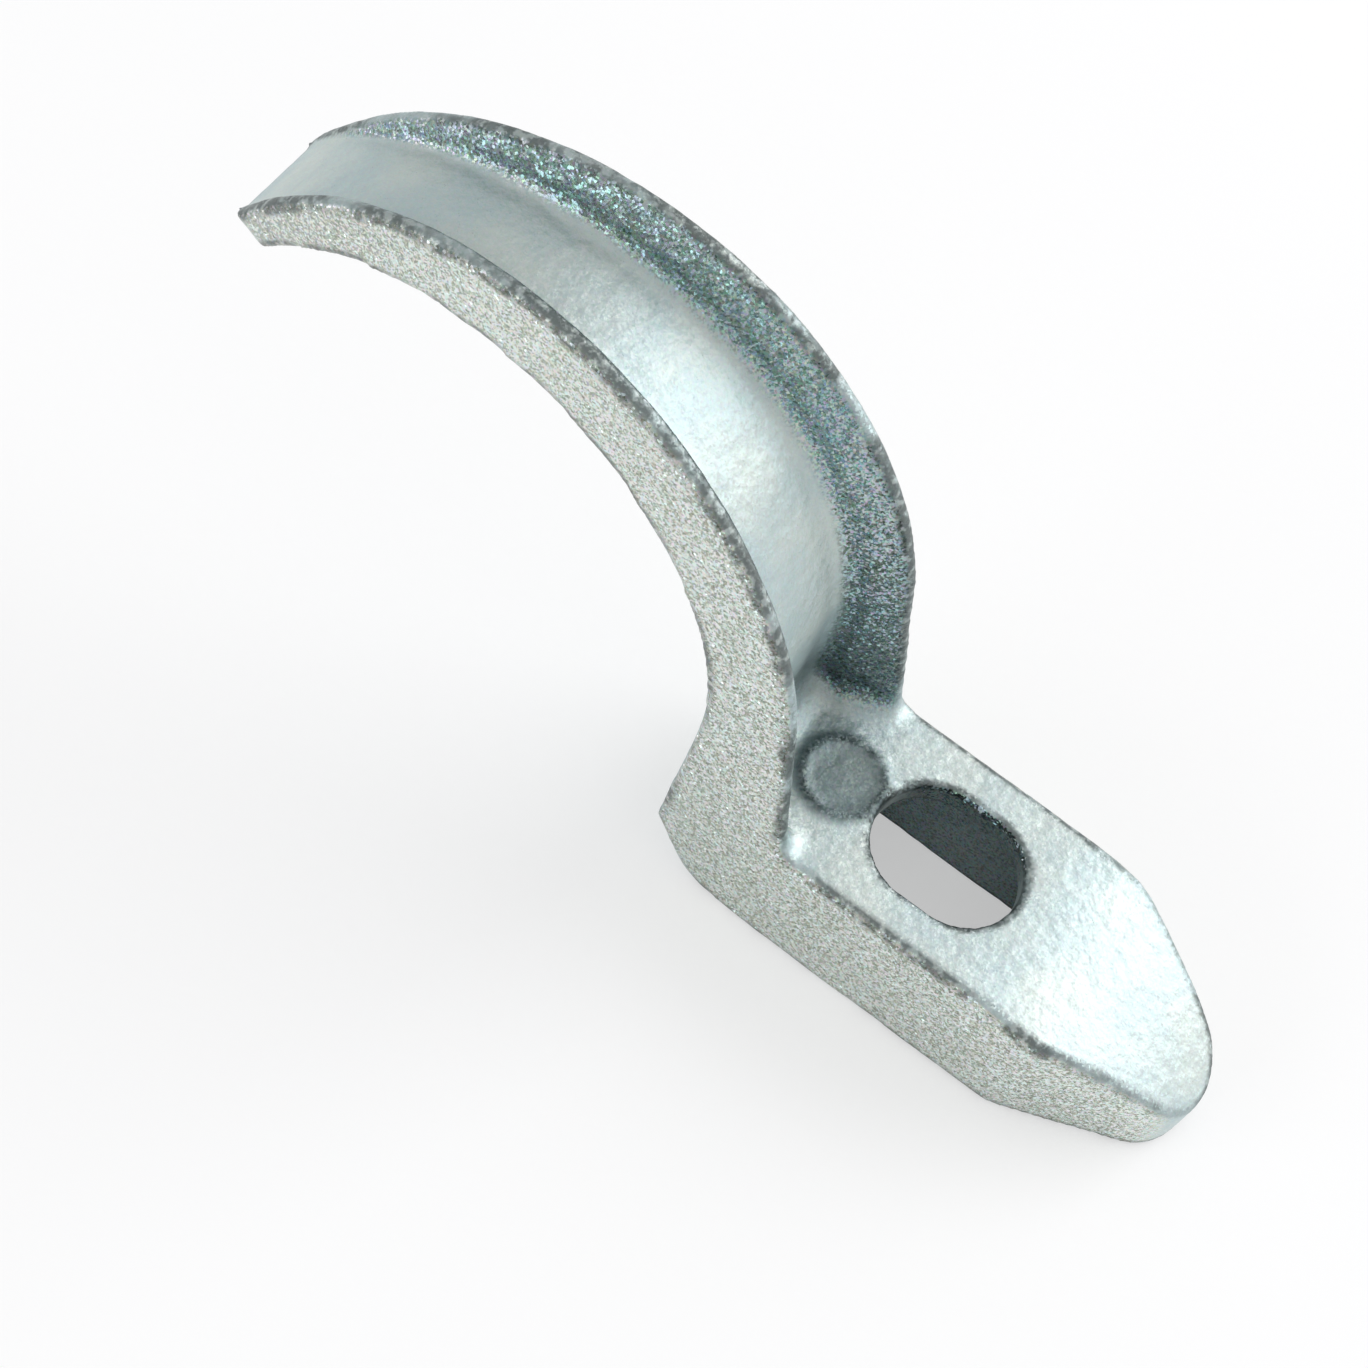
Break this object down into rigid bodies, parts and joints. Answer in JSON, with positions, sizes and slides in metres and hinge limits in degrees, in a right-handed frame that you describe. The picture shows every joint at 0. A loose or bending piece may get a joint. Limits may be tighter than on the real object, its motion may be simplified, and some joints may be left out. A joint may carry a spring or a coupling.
{
  "type": "conduit strap",
  "caption": "One-hole conduit strap: a channel-section hook over the conduit, and a hollow foot that tapers to a round toe, with a slotted screw hole.",
  "frame": {"origin": "where the screw's axis meets the wall: the slot's centre, on the plane of the foot's base", "axes": "+X along the foot to the toe, +Y along the conduit, +Z away from the wall"},
  "size_m": [0.1233, 0.023, 0.0693],
  "materials": {
    "zinc_plated_iron": "zinc plated over a fine sand-cast surface"
  },
  "bodies": {
    "root": {"strap_body": "zinc_plated_iron"}
  },
  "joints": []
}
